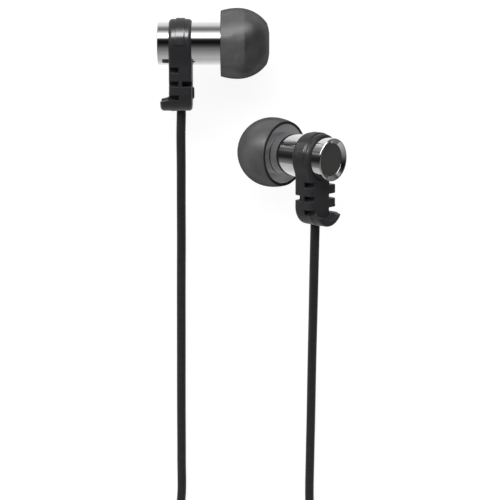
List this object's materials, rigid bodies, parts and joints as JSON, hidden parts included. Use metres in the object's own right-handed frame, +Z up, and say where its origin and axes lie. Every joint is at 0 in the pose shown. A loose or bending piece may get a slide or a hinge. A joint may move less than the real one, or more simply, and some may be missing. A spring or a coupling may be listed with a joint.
{
  "type": "wired earphones",
  "caption": "In-ear earphones with polished metal barrels, notched strain reliefs, dome ear tips and a coiled cord ending in a stereo plug.",
  "frame": {"origin": "on the table, under the middle of the box round the two earpieces", "axes": "+Z up; -Y the way the cords leave the earpieces; +X towards the turned right earpiece's back plate"},
  "size_m": [0.0367, 0.2009, 0.0177],
  "materials": {
    "polished_metal": "polished",
    "satin_metal": "satin",
    "dark_plate": "satin",
    "moulding": "matte moulded",
    "silicone": "satin silicone",
    "cord_jacket": "matte",
    "foam": "open-cell foam",
    "black_plastic": "matte",
    "steel": "brushed",
    "magnet": "nickel plated",
    "copper": "enamelled winding",
    "film": "thin film",
    "board": "solder mask",
    "gold": "gold plated",
    "tie": "woven hook and loop"
  },
  "bodies": {
    "headset": {"left_barrel_shell": "polished_metal", "left_back_plate": "dark_plate", "left_nozzle_housing": "satin_metal", "left_nozzle_mesh": "steel", "left_acoustic_damper": "foam", "left_driver_frame": "black_plastic", "left_driver_yoke": "steel", "left_driver_magnet": "magnet", "left_voice_coil": "copper", "left_diaphragm": "film", "left_terminal_board": "board", "left_cord_anchor": "cord_jacket", "left_strain_relief": "moulding", "left_cord": "cord_jacket", "left_cord_coil": "cord_jacket", "left_cord_lead": "cord_jacket", "left_coil_tie": "tie", "right_barrel_shell": "polished_metal", "right_back_plate": "dark_plate", "right_nozzle_housing": "satin_metal", "right_nozzle_mesh": "steel", "right_acoustic_damper": "foam", "right_driver_frame": "black_plastic", "right_driver_yoke": "steel", "right_driver_magnet": "magnet", "right_voice_coil": "copper", "right_diaphragm": "film", "right_terminal_board": "board", "right_cord_anchor": "cord_jacket", "right_strain_relief": "moulding", "right_cord": "cord_jacket", "right_cord_coil": "cord_jacket", "right_cord_lead": "cord_jacket", "right_coil_tie": "tie", "y_split": "moulding", "main_cord": "cord_jacket", "main_cord_coil": "cord_jacket", "main_cord_lead": "cord_jacket", "main_coil_tie": "tie", "plug_strain_relief": "moulding", "plug_grip": "moulding", "plug_sleeve": "gold", "plug_rear_insulator": "black_plastic", "plug_ring": "gold", "plug_front_insulator": "black_plastic", "plug_tip": "gold"},
    "left_tip": {"left_ear_tip": "silicone"},
    "right_tip": {"right_ear_tip": "silicone"}
  },
  "joints": [
    {"name": "left_tip_pull", "type": "slide", "parent": "headset", "child": "left_tip", "axis": [1, 0, 0], "range_m": [0, 0.006]},
    {"name": "right_tip_pull", "type": "slide", "parent": "headset", "child": "right_tip", "axis": [-0.7431, 0, -0.6691], "range_m": [0, 0.006]}
  ]
}
